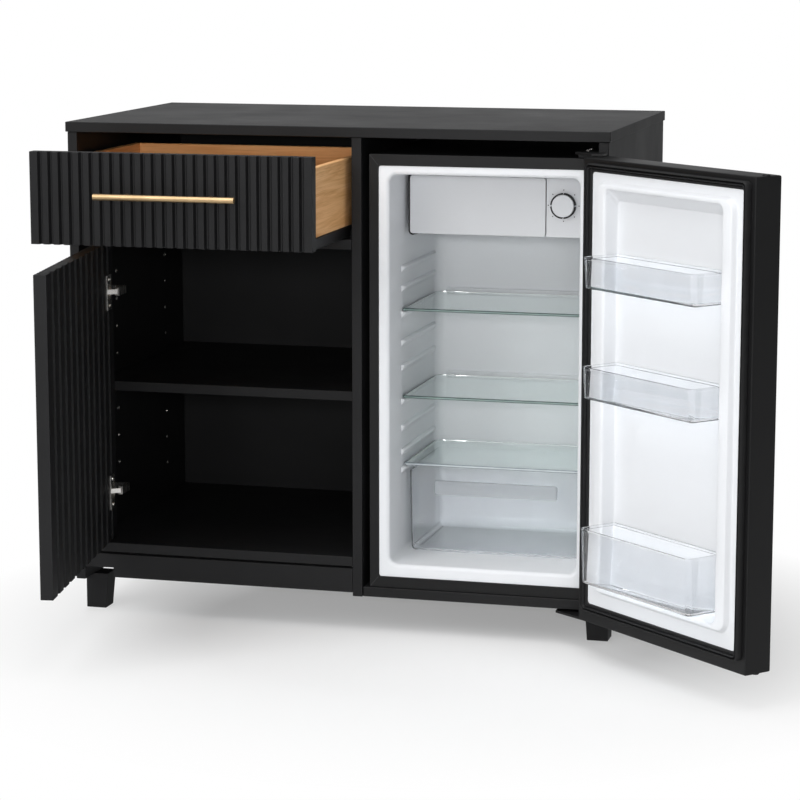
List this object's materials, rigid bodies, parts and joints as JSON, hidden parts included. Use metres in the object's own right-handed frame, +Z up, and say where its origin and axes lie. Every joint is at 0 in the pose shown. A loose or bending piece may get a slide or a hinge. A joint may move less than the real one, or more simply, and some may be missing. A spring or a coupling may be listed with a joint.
{
  "type": "coffee bar cabinet",
  "caption": "Black coffee bar cabinet: a fluted drawer over a fluted cupboard door on the left, and a compact fridge with glass shelves, freezer flap, crisper and door bins on the right.",
  "frame": {"origin": "on the floor, under the middle of the bounding box with the drawer and both doors open as at rest", "axes": "+Z is up, the front faces -Y, and +X points from the cupboard side to the fridge side"},
  "size_m": [1.33, 1.0234, 0.914],
  "materials": {
    "black_board": "satin black lacquer on board",
    "light_oak": "clear lacquered light oak",
    "brass": "brushed",
    "nickel": "nickel plated",
    "black_steel": "satin black paint",
    "insulated_panel": "satin black skin over foam",
    "white_plastic": "moulded, half gloss",
    "clear_plastic": "clear",
    "shelf_glass": "clear with pale green edges",
    "black_rubber": "matt"
  },
  "bodies": {
    "cabinet": {"worktop": "black_board", "side_panel_left": "black_board", "side_panel_right": "black_board", "divider_panel": "black_board", "back_panel": "black_board", "back_rail_top": "black_board", "back_rail_bottom": "black_board", "bottom_panel": "black_board", "fridge_floor": "black_board", "drawer_board": "black_board", "plinth_rail": "black_board", "shelf": "black_board", "shelf_pin_front_left": "nickel", "shelf_pin_front_right": "nickel", "shelf_pin_rear_left": "nickel", "shelf_pin_rear_right": "nickel", "foot_front_left": "black_board", "foot_front_right": "black_board", "foot_rear_left": "black_board", "foot_rear_right": "black_board", "hinge_arm_lower": "nickel", "hinge_arm_upper": "nickel", "slide_rail_left": "black_steel", "slide_rail_right": "black_steel", "fridge_body": "insulated_panel", "fridge_front_frame": "black_steel", "fridge_liner": "white_plastic", "glass_shelf_upper": "shelf_glass", "glass_shelf_lower": "shelf_glass", "crisper_lid": "shelf_glass", "freezer_box": "white_plastic", "thermostat_panel": "white_plastic", "fridge_hinge_top": "black_steel", "fridge_hinge_bottom": "black_steel", "compressor": "black_steel", "condenser_tube": "black_steel"},
    "drawer": {"drawer_front": "black_board", "drawer_side_left": "light_oak", "drawer_side_right": "light_oak", "drawer_back": "light_oak", "drawer_bottom": "light_oak", "drawer_handle": "brass", "slide_runner_left": "black_steel", "slide_runner_right": "black_steel"},
    "cupboard_door": {"cupboard_door": "black_board", "hinge_cup_lower": "nickel", "hinge_cup_upper": "nickel"},
    "fridge_door": {"fridge_door_shell": "insulated_panel", "fridge_door_gasket": "black_rubber", "fridge_door_liner": "white_plastic", "door_bin_upper": "clear_plastic", "door_bin_middle": "clear_plastic", "door_bin_lower": "clear_plastic"},
    "freezer_flap": {"freezer_flap": "white_plastic"},
    "thermostat_knob": {"thermostat_knob": "white_plastic"},
    "crisper": {"crisper_bin": "clear_plastic"}
  },
  "joints": [
    {"name": "drawer_slide", "type": "slide", "parent": "cabinet", "child": "drawer", "axis": [0, -1, 0], "range_m": [-0.232, 0.148]},
    {"name": "cupboard_door_hinge", "type": "hinge", "parent": "cabinet", "child": "cupboard_door", "pos_m": [-0.60202, -0.04377, 0.418], "axis": [0, 0, -1], "range_deg": [-81.5, 14]},
    {"name": "fridge_door_hinge", "type": "hinge", "parent": "cabinet", "child": "fridge_door", "pos_m": [0.32098, -0.09027, 0.4685], "axis": [0, 0, 1], "range_deg": [-138.5, 12]},
    {"name": "freezer_flap_hinge", "type": "hinge", "parent": "cabinet", "child": "freezer_flap", "pos_m": [0.07208, 0.07173, 0.821], "axis": [-1, 0, 0], "range_deg": [0, 50]},
    {"name": "thermostat_turn", "type": "hinge", "parent": "cabinet", "child": "thermostat_knob", "pos_m": [0.22958, 0.06143, 0.773], "axis": [0, -1, 0], "range_deg": [-140, 140]},
    {"name": "crisper_slide", "type": "slide", "parent": "cabinet", "child": "crisper", "axis": [0, -1, 0], "range_m": [0, 0.045]}
  ]
}
